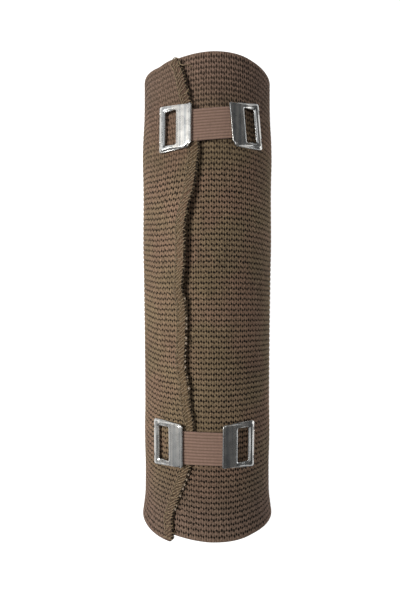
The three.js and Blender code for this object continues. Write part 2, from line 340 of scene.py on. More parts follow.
def stripProfile():
    # once round the strip's section: across the outer face up the width, round the upper edge,
    # back down the inner face and round the lower edge. along, share of the thickness, and
    # whether the knit shows
    rows = round(roll["width"] / knit["rowPitch"])
    edge = knit["selvedge"] / roll["width"]
    outer = np.linspace(edge, 1 - edge, rows * knit["perRow"] + 1)
    turn = np.radians(np.linspace(-60, 60, knit["edgePoints"]))
    upper = 1 - edge + edge * np.cos(turn)
    inner = np.linspace(1 - edge, edge, knit["innerPoints"])
    along = np.concatenate([outer, upper, inner, edge - edge * np.cos(turn)])
    level = np.concatenate([outer * 0, 0.5 + 0.5 * np.sin(turn),
                            inner * 0 + 1, 0.5 - 0.5 * np.sin(turn)])
    shown = np.concatenate([outer * 0 + 1, upper * 0, inner * 0, upper * 0])
    return along, level, shown, len(outer)


def clothLength(name, reachFrom, reachTo, material):
    # the strip's section carried along it from one reach to the other, with the knit's relief on
    # its outer face, its thickness rounded off at the free edge, and both ends closed
    along, level, shown, outerCount = stripProfile()
    step = knit["holePitch"] / knit["perHole"]
    reach = np.arange(round(reachFrom / step), round(reachTo / step) + 1) * step
    if reachFrom == 0:
        reach = np.concatenate([[0, 0.05, 0.15], reach[1:]])  # the free end's round needs more rings
    reach, along, level, shown = reach[:, None], along[None, :], level[None, :], shown[None, :]
    fromEnd = np.clip(reach / knit["endRound"], 0, 1)
    thick = np.sqrt(np.clip(1 - (1 - fromEnd) ** 2, 0.02, 1))
    rowNumber = along * roll["width"] / knit["rowPitch"]
    relief = knitDepth(reach / knit["holePitch"], rowNumber) * shown
    relief = relief * smoothStep(*knit["reliefFrom"], reach)
    depth = roll["cloth"] * (0.5 + (level - 0.5) * thick) + relief - flapLift(reach, along)
    depth = depth + hemPress(reach, along) * (1 - level)
    points = onRoll(flapAngle(reach, along), along + 0 * reach, depth)
    count, around = points.shape[:2]
    quads = gridFaces(count, around, closeColumns=True)
    uv = np.stack([reach + 0 * along, along * roll["width"] + 0 * reach], axis=-1).reshape(-1, 2) * mm
    # an end is closed by triangles between the outer face's points and the rest of the section,
    # which steps round the two edges within as many points at either end of the outer face
    outside = np.arange(outerCount)
    bend, lastOut, lastIn = knit["edgePoints"], outerCount - 1, around - outerCount - 1
    steps = np.interp(outside, [0, bend, lastOut - bend, lastOut], [0, bend, lastIn - bend, lastIn])
    inside = around - 1 - np.round(steps).astype(int)
    caps = []
    for first, flip in ((0, False), ((count - 1) * around, True)):
        fan = np.stack([outside[:-1], outside[1:], inside[1:]], axis=-1)
        moved = inside[:-1] != inside[1:]
        rest = np.stack([outside[:-1], inside[1:], inside[:-1]], axis=-1)[moved]
        cap = first + np.concatenate([fan, rest])
        caps.append(cap[:, ::-1] if flip else cap)
    return meshPiece(name, points.reshape(-1, 3), quads, material, np.concatenate(caps), uv)


def knittedCloth():
    # cotton and elastane warp knit, dyed taupe: a matt, slightly hairy face with oval pinholes in
    # zigzag rows and upright strands with a groove beside each, a dye that goes faintly from olive
    # to mauve, and painted shade that darkens the holes, grooves, seams and hem
    material, tree, shader = newMaterial("elasticWarpKnit")
    uv = addNode(tree, "UVMap", {"uv_map": "cloth"}).outputs[0]
    scale = (1 / (knit["holePitch"] * mm), 1 / (knit["rowPitch"] * mm), 1)
    counted = addNode(tree, "Mapping", inputs={"Vector": uv, "Scale": scale}).outputs[0]
    place = addNode(tree, "TexCoord").outputs["Object"]
    axes = addNode(tree, "SeparateXYZ", inputs=[counted]).outputs
    sockets = {"holesIn": axes[0], "rowsUp": axes[1]}
    for name, where, stretched, clouds, detail, space in (
        # the holes' sway, yarn as short flecks, strands as upright streaks, and the dye twice
        ("sway", counted, (1, 1, 1), 0.8, 2.0, "2D"),
        ("yarn", counted, (5.0, 2.6, 1), 1.0, 4.0, "2D"),
        ("streak", counted, (1.9, 0.14, 1), 1.0, 2.0, "2D"),
        ("dye", place, (1, 1, 1), 60.0, 2.0, "3D"),
        ("patch", place, (1, 1, 1), 45.0, 2.0, "3D"),
    ):
        way = addNode(tree, "Mapping", inputs={"Vector": where, "Scale": stretched}).outputs[0]
        cloud = addNode(tree, "TexNoise", {"noise_dimensions": space},
                        {"Vector": way, "Scale": clouds, "Detail": detail})
        sockets[name] = cloud.outputs[1 if name == "sway" else 0]  # its colour, or its grey
    apart = addNode(tree, "SeparateColor", inputs=[sockets["sway"]]).outputs
    sockets.update(swayAside=apart[0], swayUp=apart[1], swaySize=apart[2])
    middleRow = roll["width"] / knit["rowPitch"] / 2
    openFrom, openAt = (reach / knit["holePitch"] for reach in knit["openFrom"])
    addTable(tree, sockets, [
        # result, kind of node, main setting, inputs
        ("aside", "Math", "MULTIPLY_ADD", "swayAside", 0.6, -0.3),
        ("hole", "Math", "ADD", "holesIn", "aside"),
        ("up", "Math", "MULTIPLY_ADD", "swayUp", 0.26, -0.13),
        ("swayedRow", "Math", "ADD", "rowsUp", "up"),
        ("halfTurns", "Math", "MULTIPLY", "holesIn", math.pi),
        ("zigzag", "Math", "COSINE", "halfTurns"),
        ("row", "Math", "MULTIPLY_ADD", "zigzag", knit["zigzag"], "swayedRow"),
        # distance to the nearest hole's middle, in mm, the holes leaning a little
        ("fromHole", "Math", "WRAP", "hole", 0.5, -0.5),
        ("straight", "Math", "MULTIPLY", "fromHole", knit["holePitch"]),
        ("fromRow", "Math", "WRAP", "row", 0.5, -0.5),
        ("above", "Math", "MULTIPLY", "fromRow", knit["rowPitch"]),
        ("beside", "Math", "MULTIPLY_ADD", "above", -0.09, "straight"),
        ("besideSize", "Math", "ABSOLUTE", "beside"),
        ("aboveSize", "Math", "ABSOLUTE", "above"),
        # it counts for less upwards, because the holes are oval, and taller near the strip's
        # upper edge, where the strip is stretched
        ("tall", "MapRange", "SMOOTHSTEP", "rowsUp", *knit["tallRows"], 0.72, 0.5),
        ("aboveOval", "Math", "MULTIPLY", "above", "tall"),
        ("aboveSquare", "Math", "MULTIPLY", "aboveOval", "aboveOval"),
        ("squares", "Math", "MULTIPLY_ADD", "beside", "beside", "aboveSquare"),
        ("away", "Math", "SQRT", "squares"),
        ("holeSize", "Math", "MULTIPLY_ADD", "swaySize", 0.2, 0.175),
        ("fromRim", "Math", "SUBTRACT", "away", "holeSize"),
        ("roundPit", "MapRange", "SMOOTHSTEP", "fromRim", -0.08, 0.09, 1.0, 0.0),
        ("fullGroove", "MapRange", "SMOOTHSTEP", "besideSize", 0.02, 0.2, 1.0, 0.0),
        ("fullSeam", "MapRange", "SMOOTHSTEP", "aboveSize", 0.05, 0.42, 1.0, 0.0),
        # the overlocked hem is sewn over, so all three are half closed there
        ("open", "MapRange", "SMOOTHSTEP", "holesIn", openFrom, openAt, 0.4, 1.0),
        ("hemmedPit", "Math", "MULTIPLY", "roundPit", "open"),
        ("groove", "Math", "MULTIPLY", "fullGroove", "open"),
        ("hemmedSeam", "Math", "MULTIPLY", "fullSeam", "open"),
        # the selvedge at either edge of the strip has neither holes nor seams
        ("fromMidRow", "Math", "SUBTRACT", "rowsUp", middleRow),
        ("fromMiddle", "Math", "ABSOLUTE", "fromMidRow"),
        ("inside", "MapRange", "SMOOTHSTEP", "fromMiddle", middleRow - 0.45, middleRow - 0.2, 1.0, 0.0),
        ("insidePit", "Math", "MULTIPLY", "hemmedPit", "inside"),
        ("seam", "Math", "MULTIPLY", "hemmedSeam", "inside"),
        # towards the upper edge the stretch has closed the holes, most of all on the flap, where
        # they are a little closed all over
        ("shutUp", "MapRange", "SMOOTHSTEP", "rowsUp", *knit["shutRows"], 0.0, 1.0),
        ("shutIn", "MapRange", "SMOOTHSTEP", "holesIn", *knit["flapHoles"], 0.56, 0.22),
        ("shut", "Math", "MULTIPLY", "shutUp", "shutIn"),
        ("shutFlap", "MapRange", "SMOOTHSTEP", "holesIn", *knit["flapHoles"], 0.05, 0.0),
        ("closed", "Math", "MAXIMUM", "shut", "shutFlap"),
        ("stillOpen", "Math", "SUBTRACT", 1.0, "closed"),
        ("pit", "Math", "MULTIPLY", "insidePit", "stillOpen"),
        # the dye: olive to taupe in clouds, and mauve towards both edges of the strip
        ("clouds", "MapRange", "SMOOTHSTEP", "dye", 0.36, 0.64, 0.0, 1.0),
        ("dyed", "Mix", "MIX", "clouds", "#806e56", "#866c5a"),
        ("mauve", "MapRange", "SMOOTHSTEP", "fromMiddle", middleRow * 0.62, middleRow * 0.96, 0.0, 0.8),
        ("tone1", "Mix", "MIX", "mauve", "dyed", "#846d60"),
        # lighter and darker in patches, by the yarn and by the strand, and darker at the lower edge
        ("patches", "MapRange", "SMOOTHSTEP", "patch", 0.3, 0.7, 0.9, 1.08),
        ("tone2", "Mix", "MULTIPLY", 1.0, "tone1", "patches"),
        ("flecks", "MapRange", "SMOOTHSTEP", "yarn", 0.3, 0.72, 0.56, 1.34),
        ("tone3", "Mix", "MULTIPLY", 1.0, "tone2", "flecks"),
        ("strands", "MapRange", "SMOOTHSTEP", "streak", 0.3, 0.7, 0.84, 1.14),
        ("tone4", "Mix", "MULTIPLY", 1.0, "tone3", "strands"),
        ("lowerEnd", "MapRange", "SMOOTHSTEP", "rowsUp", 4, 24, 0.83, 1.0),
        ("tone5", "Mix", "MULTIPLY", 1.0, "tone4", "lowerEnd"),
        # dull where the stretch has closed the holes, and painted shade on the cloth between the hem's threads
        ("tone6", "Mix", "MULTIPLY", "shut", "tone5", "#c9c6c4"),
        ("hemmed", "Math", "SUBTRACT", 1.0, "open"),
        ("tone7", "Mix", "MULTIPLY", "hemmed", "tone6", "#a09688"),
        # painted shade on the free edge's cut face and the first half millimetre in from it, nearly black at
        # the very edge
        ("cutEnds", "MapRange", "SMOOTHSTEP", "holesIn", 0.15, 0.7, 0.1, 1.0),
        ("tone8", "Mix", "MULTIPLY", 1.0, "tone7", "cutEnds"),
        # painted shade: the grooves beside the strands and the seams between the rows of holes darkened
        # towards dark brown
        ("grooveDark", "Math", "MULTIPLY", "groove", 0.46),
        ("seamDark", "Math", "MULTIPLY", "seam", 0.38),
        ("lineDark", "Math", "MAXIMUM", "grooveDark", "seamDark"),
        ("shaded", "Mix", "MIX", "lineDark", "tone8", "#3a2f23"),
        # near-black painted shade in the holes, where the bump makes them lie deep
        ("pitted", "Mix", "MIX", "pit", "shaded", "#120b06"),
        # the bump: yarn stands up, and holes, grooves and seams lie deep
        ("lines", "Math", "MAXIMUM", "groove", "seam"),
        ("deep", "Math", "MULTIPLY_ADD", "lines", 0.35, "pit"),
        ("high", "Math", "MULTIPLY", "yarn", 0.35),
        ("height", "Math", "SUBTRACT", "high", "deep"),
    ])
    bump = addNode(tree, "Bump", inputs={"Strength": 0.8, "Distance": 0.00025, "Height": sockets["height"]})
    tree.links.new(sockets["pitted"], shader.inputs["Base Color"])
    tree.links.new(bump.outputs[0], shader.inputs["Normal"])
    shader.inputs["Roughness"].default_value = 0.93
    shader.inputs["Specular IOR Level"].default_value = 0.25
    return material


spiral = {
    "step": 4.5,  # degrees from section to section
    "across": 14,  # points across either face
    "settle": 60,  # degrees over which its wander and ruffle come in after the outer turn
    "swell": 40,  # and those over which its changes of thickness do
}


def innerWinding(angles, material):
    # the rest of the strip as one closed spiral: a plain section with round edges carried inwards
    # turn by turn, each edge wandering a little in and out of the roll's ends, the cloth's
    # thickness and its place rising and falling by sines of the angle
    edge = knit["selvedge"] * 1.1 / roll["width"]
    turn = np.radians([-90, -60, -30, 0, 30, 60, 90])
    face = np.linspace(2 * edge, 1 - 2 * edge, spiral["across"])
    along = np.concatenate([face, 1 - edge + edge * np.cos(turn), face[::-1], edge - edge * np.cos(turn)])
    level = np.concatenate([face * 0, 0.5 + 0.5 * np.sin(turn), face * 0 + 1, 0.5 - 0.5 * np.sin(turn)])
    angle, turned, along, level = angles[:, None], np.radians(angles)[:, None], along[None, :], level[None, :]
    settled = smoothStep(angles[0], angles[0] + spiral["settle"], angle)
    wander = (0.28 * np.sin(turned * 0.83) + 0.2 * np.sin(turned * 2.37 + 1)) * settled / roll["width"]
    ruffle = 0.05 * np.sin(turned * 7.3) * settled
    swell = roll["cloth"] * (0.06 + 0.05 * np.sin(turned * 3.1))
    thick = roll["cloth"] + swell * smoothStep(angles[0], angles[0] + spiral["swell"], angle)
    points = onRoll(angle, along + wander, level * thick + ruffle)
    count, around = points.shape[:2]
    reach = np.cumsum(np.concatenate([[0], np.linalg.norm(np.diff(points[:, 0], axis=0), axis=1)]))
    uv = np.stack([reach[:, None] + 0 * along, along * roll["width"] * mm + 0 * angle], axis=-1)
    half = np.arange(around // 2)
    cap = np.stack([half[:-1], half[1:], around - 2 - half[:-1], around - 1 - half[:-1]], axis=-1)
    quads = [gridFaces(count, around, closeColumns=True), cap, (count - 1) * around + cap[:, ::-1]]
    return meshPiece("inner_winding", points.reshape(-1, 3), np.concatenate(quads), material,
                     uv=uv.reshape(-1, 2))


# The overlocked free edge

hem = {
    "stitch": 1.1,  # mm from stitch to stitch along the edge
    "bite": 2.9,  # mm from the edge to the needle line
    "lean": 2.3,  # mm that a thread climbs on its way from the needle line to the edge
    "uneven": 0.17,  # mm, the stitches' spread
    "thread": 0.15,  # radius
    "threadSides": 6,
    "slackAt": (0, 20, 40, 60, 78, 92, 104, 118, 135, 150),  # mm up the edge
    "slack": (0.04, 0.03, 0.04, 0.05, 0.03, 0.03, 0.09, 0.07, 0.12, 0.14),  # mm off the face
    "rimStitch": 1.64,  # mm from loop to loop of the looper's thread, at the very edge
    "rimThread": 0.13,
    # mm up the edge, where the looper's thread has drawn up into pale knots
    "knots": (10.7, 12.0, 15.4, 17.8, 19.2, 20.9, 22.6, 50.1, 53.6, 56.7, 58.5, 60.2, 61.9, 64.0, 65.6,
              68.6, 69.9, 71.7, 77.7),
    "knotRadius": 0.3,
    "knotRings": 7,  # points of a knot's mesh from pole to pole
    "knotSides": 10,  # and around
    # the loose tail's curl: mm in from the free edge, down from the upper one and off the face
    "tail": ((2.8, 1.6, -0.1), (1.7, 0.7, 0.3), (0.6, 0.3, 0.5), (-0.4, 1.0, 0.5),
             (-0.1, 2.3, 0.3), (-0.9, 3.2, 0.3), (-2.2, 3.0, -0.3), (-3.3, 3.4, -0.9)),
}


def threadPiece(name, path, radius, material):
    # a round section carried along a path: the section's two axes are the path's side-step, which
    # is square to it and to a direction that no thread follows, and the direction square to both
    sides = hem["threadSides"]
    ahead = np.gradient(path, axis=0)
    ahead /= np.linalg.norm(ahead, axis=1, keepdims=True) + 1e-12
    sideways = np.cross(ahead, np.array([0.31, 0.17, 0.93]))
    sideways /= np.linalg.norm(sideways, axis=1, keepdims=True) + 1e-12
    above = np.cross(sideways, ahead)
    turn = np.arange(sides) * 2 * np.pi / sides
    ring = sideways[:, None] * np.cos(turn)[None, :, None] + above[:, None] * np.sin(turn)[None, :, None]
    points = path[:, None] + ring * radius * mm
    count = len(path)
    around = np.arange(sides)
    after = (around + 1) % sides
    last = (count - 1) * sides
    near = np.stack([around, after, 0 * around + count * sides], axis=-1)
    far = np.stack([last + after, last + around, 0 * around + count * sides + 1], axis=-1)
    uv = np.zeros((count * sides + 2, 2))
    length = np.cumsum(np.concatenate([[0], np.linalg.norm(np.diff(path, axis=0), axis=1)]))
    uv[:count * sides, 0] = np.repeat(length, sides)
    uv[:count * sides, 1] = np.tile(around, count) * radius * mm
    return meshPiece(name, np.concatenate([points.reshape(-1, 3), path[[0, -1]]]),
                     gridFaces(count, sides, closeColumns=True), material, np.concatenate([near, far]), uv)


def onFlap(reach, along, off):
    # a point off mm above the outer face of the flap, reach mm in from its free edge
    return onRoll(flapAngle(reach, along), along, hemPress(reach, along) - flapLift(reach, along) - off)


def smoothPath(knots, each):
    # a path through knots with each points from knot to knot, by the same cubic as curveThrough
    at = np.linspace(0, len(knots) - 1, (len(knots) - 1) * each + 1)
    return np.stack([curveThrough(at, np.arange(len(knots)), knots[:, k]) for k in range(3)], axis=-1)


def overlockPath():
    # one stitch after another: from the needle line slanting up across the face to the edge,
    # round it, and back underneath to the next hole of the needle line
    stitches = round((roll["width"] + hem["lean"]) / hem["stitch"])
    under = -roll["cloth"]  # the height of the flap's inner face
    shape = np.array([
        # share of the bite, share of the lean, height off the face in mm
        (1.00, 0.00, -0.22),
        (0.95, 0.05, -0.06),
        (0.70, 0.30, -0.03),
        (0.35, 0.65, -0.03),
        (0.06, 0.94, -0.06),
        (0.00, 1.00, 0.4 * under),
        (0.01, 0.98, under - 0.05),
        (0.30, 0.80, under - 0.12),
        (0.80, 0.55, under - 0.12),
    ])
    number = np.arange(stitches)[:, None]
    uneven = np.random.default_rng(4).normal(0, hem["uneven"], (2, stitches, len(shape)))
    up = number * hem["stitch"] + (shape[None, :, 1] - 1) * hem["lean"] + uneven[0]
    up = np.clip(up, 1.1, roll["width"] - 0.5)
    reach = shape[None, :, 0] * hem["bite"] + uneven[1]
    # sewn tight in some lengths, so that the threads sink into the cloth, and slack in others
    slack = curveThrough(up, hem["slackAt"], hem["slack"])
    off = shape[None, :, 2] + slack * (shape[None, :, 2] > -0.1)
    knots = onFlap(reach.ravel(), up.ravel() / roll["width"], off.ravel())
    return smoothPath(knots, 3)


def tailPath():
    # the overlock's last thread hangs in a small curl off the upper corner of the free end
    reach, down, off = np.array(hem["tail"]).T
    return smoothPath(onFlap(reach, 1 - down / roll["width"], off), 6)


def edgeLoopPath():
    # the looper's thread along the very edge, round and round it once a stitch like a loose helix,
    # its reach and its height a cosine and a sine of the turn, made uneven by two slower sines
    stitches = round((roll["width"] - 5) / hem["rimStitch"])
    turns = np.linspace(0, stitches, stitches * 12)
    uneven = 0.12 * np.sin(turns * 1.9) + 0.08 * np.sin(turns * 4.3)
    wave, lean = np.cos(2 * np.pi * turns), np.sin(2 * np.pi * turns)
    up = 2.5 + (turns + 0.3 * wave) * hem["rimStitch"]
    reach = 0.2 + 0.2 * wave + 0.5 * uneven
    off = -0.5 * roll["cloth"] + 0.3 * lean
    return onFlap(reach, up / roll["width"], off)


def knotPiece(name, material):
    # little balls of drawn-up thread sitting on the very edge, each a grid of rings about its
    # axis, a quarter longer than wide, and closed by a fan at either pole
    up = np.array(hem["knots"], float)
    sides, rings = hem["knotSides"], hem["knotRings"]
    centres = onFlap(0 * up - 0.25, up / roll["width"], 0 * up + 0.02)
    around, down = np.meshgrid(np.arange(sides) * 2 * np.pi / sides, np.linspace(0.05, np.pi - 0.05, rings))
    ball = np.stack([np.sin(down) * np.cos(around), 1.25 * np.cos(down),
                     np.sin(down) * np.sin(around)], axis=-1)
    size = hem["knotRadius"] * np.random.default_rng(9).uniform(0.8, 1.15, len(up)) * mm
    points = centres[:, None, None] + ball[None] * size[:, None, None, None]
    first = np.arange(len(up))[:, None, None] * sides * rings  # each knot's first point
    quads = (first + gridFaces(rings, sides, closeColumns=True)[None]).reshape(-1, 4)
    lids = np.arange(1, sides - 1)
    top = np.stack([0 * lids, lids + 1, lids], axis=-1)[None]
    fans = np.concatenate([first + top, first + (rings - 1) * sides + top[:, :, ::-1]]).reshape(-1, 3)
    uv = np.tile(np.stack([around, down], axis=-1).reshape(-1, 2), (len(up), 1)) * mm
    return meshPiece(name, points.reshape(-1, 3), quads[:, ::-1], material, fans[:, ::-1], uv)


def needleLinePath():
    # small straight stitches end to end along the needle line, each dipping into the cloth
    stitches = round((roll["width"] - 4) / hem["stitch"])
    turns = np.linspace(0, stitches, stitches * 6)
    along = (2 + turns * hem["stitch"]) / roll["width"]
    return onFlap(hem["bite"] + 0.12 + 0.05 * np.sin(turns * 2.1), along,
                  0.12 - 0.26 * (0.5 + 0.5 * np.cos(2 * np.pi * turns)) ** 4)


def sewingThread(name, hexColour):
    # spun polyester thread: two plies twisted together, a soft shine on each, and painted shade in the groove
    # between them
    material, tree, shader = newMaterial(name)
    uv = addNode(tree, "UVMap", {"uv_map": "cloth"}).outputs[0]
    plies = addNode(tree, "TexWave", {"bands_direction": "DIAGONAL"},
                    {"Vector": uv, "Scale": 420.0, "Distortion": 1.0}).outputs["Fac"]
    place = addNode(tree, "TexCoord").outputs["Object"]
    faded = addNode(tree, "TexNoise", inputs={"Vector": place, "Scale": 260.0, "Detail": 2.0}).outputs[0]
    sockets = {"plies": plies, "faded": faded}
    addTable(tree, sockets, [
        ("yarn", "Mix", "MIX", "faded", "#8d795a", hexColour),
        # painted shade: darker brown where the wave of the plies is low, in the groove between them
        ("tint", "Mix", "MIX", "plies", "#67573f", "yarn"),
    ])
    bump = addNode(tree, "Bump", inputs={"Strength": 0.4, "Distance": 0.00008, "Height": plies})
    tree.links.new(sockets["tint"], shader.inputs["Base Color"])
    tree.links.new(bump.outputs[0], shader.inputs["Normal"])
    shader.inputs["Roughness"].default_value = 0.62
    shader.inputs["Sheen Weight"].default_value = 0.1
    return material


# The clips

clip = {
    "sheet": 0.5,  # all in mm
    "farBar": 2.23,
    "windowDepth": 3.82,
    "padDepth": 5.26,
    "padEdge": 5.3,  # the near edge, from the clasp's middle
    "windowLength": 10.33,
    "farLength": 14.54,
    "padLength": 13.30,
    "seat": 0.6,  # the far bar's underside above the cloth
    "padSeat": 0.75,  # the pad's
    "crown": 0.08,
    "crownReach": 2.6,  # from the pad's middle to where its crown is gone
    "rim": 0.9,  # how wide the turned-down outer rim is, and how far it drops
    "rimDrop": 0.42,
    "windowRim": 0.7,  # the same of the rim round the window
    "windowDrop": 0.26,
    "windowCorner": 0.4,  # rounds
    "farCorner": 0.5,
    "tongueSheet": 0.2,
    "tongueDepth": 3.6,
    "toothWidth": 1.6,
    "toothSpacing": 9,
    "bandWidth": {"upper_clip": 9.6, "lower_clip": 10.2},
    "bandThick": 0.6,
    "bandSqueezed": 0.36,  # between tongue and pad
    "bandMiddle": 0.5,  # above the cloth, inside the clasps
}
# angle to the left of the top, share of the width up from the middle, twist anticlockwise, lean
# of the near edge off the cloth, how far the near edge's two corners are cut off, and how far up
# from the clasp's middle the band comes out
claspPlaces = {
    "upper_clip": {
        "left": (25.19, 0.3452, -0.66, -0.2, (1.5, 0.3), -0.1),
        "right": (-29.35, 0.3540, 186.01, -0.9, (0.3, 1.6), 0.7),
    },
    "lower_clip": {
        "left": (32.66, -0.3052, 0.64, -0.3, (0.6, 0.6), -0.45),
        "right": (-23.15, -0.3068, 179.22, 0.1, (0.5, 0.5), -0.8),
    },
}
padEdge = clip["padEdge"]
padStart = padEdge - clip["padDepth"]
windowStart = padStart - clip["windowDepth"]
farEdge = windowStart - clip["farBar"]


def claspFrame(angle, along, twist, tilt):
    # the clasp's own axes on the roll: round it, along it and off the cloth, turned by the twist
    # and then leant about the far edge
    wound = angle % 360 if angle > 0 else 360 + angle
    radius = float(windRadius(float(wound), along + 0.5))
    turned, spin, lean = math.radians(angle), math.radians(twist), math.radians(tilt)
    right = np.array([math.cos(turned), 0, math.sin(turned)])
    up = np.array([0, 1, 0])
    off = np.array([-math.sin(turned), 0, math.cos(turned)])
    across = right * math.cos(spin) + up * math.sin(spin)
    beside = up * math.cos(spin) - right * math.sin(spin)
    origin = np.array([axisX, middleY + along * roll["width"], axisHeight]) + off * radius
    hinge = origin + across * farEdge
    across, off = (across * math.cos(lean) + off * math.sin(lean),
                   off * math.cos(lean) - across * math.sin(lean))
    return hinge - across * farEdge, across, beside, off


def inFrame(place, local):
    # local x, y and height in mm as points in metres
    origin, across, beside, off = place
    x, y, z = (local[..., k, None] for k in range(3))
    return (origin + x * across + y * beside + z * off) * mm


def roundedLoop(corners, radii, perSide=26, perCorner=7):
    # once round a four-cornered outline with round corners, side by side, so that two loops with
    # the same counts match point for point
    corners = np.array(corners, float)
    loop = []
    for k in range(4):
        here, ahead, after = corners[k], corners[(k + 1) % 4], corners[(k + 2) % 4]
        toAhead = (ahead - here) / np.linalg.norm(ahead - here)
        toAfter = (after - ahead) / np.linalg.norm(after - ahead)
        start, end = here + toAhead * radii[k], ahead - toAhead * radii[(k + 1) % 4]
        t = np.linspace(0, 1, perSide, endpoint=False)[:, None]
        loop.append(start + (end - start) * t)
        t = np.linspace(0, 1, perCorner, endpoint=False)[:, None]
        stop = ahead + toAfter * radii[(k + 1) % 4]
        middle = 0.4 * ahead + 0.3 * (end + stop)  # so that the corner is rather cut than round
        loop.append((1 - t) ** 2 * end + 2 * t * (1 - t) * middle + t**2 * stop)
    return np.concatenate(loop)


def claspHeight(x, outward, wide):
    # height of the stamped sheet's underside: the far bar, then up a slight slope to the pad,
    # whose crown is a parabola. The outer rim turns down by a smooth step on all sides but the
    # near one, and a lower rim round the window
    pad = smoothStep(windowStart, padStart + 1.2, x)
    fromPadMiddle = (x - (padStart + padEdge) / 2) / clip["crownReach"]
    crown = clip["crown"] * (1 - fromPadMiddle**2) * smoothStep(padStart, padStart + 1, x)
    base = clip["seat"] + (clip["padSeat"] - clip["seat"]) * pad + crown
    fromRim, fromWindow = (1 - outward) * wide, outward * wide
    nearSide = smoothStep(padEdge - 1.2, padEdge - 0.5, x)  # the near edge has next to no rim
    rimDrop = clip["rimDrop"] * (1 - nearSide) * (1 - smoothStep(0, clip["rim"], fromRim))
    narrower = 1 - 0.6 * pad  # the window's rim is widest at the far bar
    rimShare = smoothStep(0, 1, fromWindow / (clip["windowRim"] * narrower))
    windowDrop = clip["windowDrop"] * narrower * (1 - rimShare)
    return base - rimDrop - windowDrop


def claspPiece(name, place, cutCorners, material):
    # the sheet is a ring between the window's outline and the clasp's own, carried once round its
    # thin section: out over the top face, round the rim, back underneath and round the window
    rounding = clip["sheet"] * 0.35  # how far the sheet's rounded edges stand out
    halfWindow = clip["windowLength"] / 2 + rounding
    halfFar, halfPad = clip["farLength"] / 2 - rounding, clip["padLength"] / 2 - rounding
    near, far = padStart + rounding, windowStart - rounding
    window = roundedLoop([(far, -halfWindow), (near, -halfWindow), (near, halfWindow), (far, halfWindow)],
                         (clip["windowCorner"],) * 4)
    far, near = farEdge + rounding, padEdge - rounding
    outline = roundedLoop([(far, -halfFar), (near, -halfPad), (near, halfPad), (far, halfFar)],
                          (clip["farCorner"], *cutCorners, clip["farCorner"]))
    faceSteps = np.concatenate([np.linspace(0, 0.2, 6), np.linspace(0.3, 0.7, 5), np.linspace(0.8, 1, 6)])
    edgeTurn = np.radians([-55, 0, 55])
    outward = np.concatenate([faceSteps, 1 + 0 * edgeTurn, faceSteps[::-1], 0 * edgeTurn])
    above = np.concatenate([0 * faceSteps + 1, 0.5 - 0.5 * np.sin(edgeTurn),
                            0 * faceSteps, 0.5 + 0.5 * np.sin(edgeTurn)])
    bulge = np.concatenate([0 * faceSteps, np.cos(edgeTurn), 0 * faceSteps, -np.cos(edgeTurn)])
    across = outline - window
    wide = np.linalg.norm(across, axis=1)[:, None]
    direction = across / wide
    flat = window[:, None] + across[:, None] * outward[None, :, None]
    flat = flat + direction[:, None] * (bulge * rounding)[None, :, None]
    height = claspHeight(flat[..., 0], outward[None, :], wide) + above[None, :] * clip["sheet"]
    sheet = np.concatenate([flat, height[..., None]], axis=-1)
    points = [inFrame(place, sheet).reshape(-1, 3)]
    faces = [gridFaces(*sheet.shape[:2], closeRows=True, closeColumns=True)[:, ::-1]]

    def addStrip(centre, normal, halfWidths, thick):
        # a flat strip with rounded edges carried along a bent centre line: its section is an oval
        # made squarer by powers of the cosine and the sine, and a row of quads closes each end
        sides, half = 12, 6
        turn = np.linspace(0, 2 * np.pi, sides, endpoint=False)
        sideways = np.sign(np.cos(turn)) * np.abs(np.cos(turn)) ** 0.35
        upward = np.sign(np.sin(turn)) * np.abs(np.sin(turn)) ** 0.6
        aside = np.array([0, 1, 0]) * (halfWidths[:, None] * sideways[None, :])[..., None]
        body = centre[:, None] + aside + normal[:, None] * (thick / 2 * upward)[None, :, None]
        first = sum(len(p) for p in points)
        points.append(inFrame(place, body).reshape(-1, 3))
        faces.append(gridFaces(len(centre), sides, closeColumns=True, first=first))
        for k in (0, len(centre) - 1):
            ring = first + k * sides + np.arange(sides)
            fold = np.stack([ring[:half - 1], ring[1:half], ring[-2:half - 1:-1], ring[:half:-1]], axis=-1)
            faces.append(fold if k else fold[:, ::-1])

    # the tongue: from the pad's edge at the window down through a half turn and back under it
    bend = np.radians(np.linspace(90, 270, 9))
    low = clip["tongueSheet"] / 2 + 0.05
    radius = (clip["seat"] + clip["sheet"] / 2 - low) / 2
    curl = np.stack([padStart + 0.55 + radius * 0.9 * np.cos(bend), 0 * bend,
                     low + radius + radius * np.sin(bend)], axis=-1)
    end = np.array([[padStart + clip["tongueDepth"], 0, curl[-1, 2]]])
    centre = np.concatenate([curl, end])
    normal = np.stack([np.cos(bend), 0 * bend, np.sin(bend)], axis=-1)
    normal = np.concatenate([normal, normal[-1:]])
    addStrip(centre, normal, np.full(len(centre), clip["windowLength"] / 2 - 0.35), clip["tongueSheet"])

    # two teeth: bent down from the far edge, each narrowing to a point in the cloth
    fall = farEdge**2 / (2 * roll["radius"])  # of the round cloth under the far edge, as a parabola
    for side in (-1, 1):
        t = np.linspace(0, 1, 6)[:, None]
        top = clip["seat"] + clip["sheet"] / 2
        length = top + fall + roll["cloth"]
        centre = np.concatenate([farEdge + 0.45 - 0.2 * np.sin(t * np.pi / 2),
                                 side * clip["toothSpacing"] / 2 + 0 * t, top - length * t], axis=1)
        normal = np.tile([[1.0, 0, 0]], (len(t), 1))
        halves = clip["toothWidth"] / 2 * (1 - 0.8 * t[:, 0] ** 1.5)
        addStrip(centre, normal, halves, clip["sheet"] * 0.8)

    return meshPiece(name, np.concatenate(points), np.concatenate(faces), material)


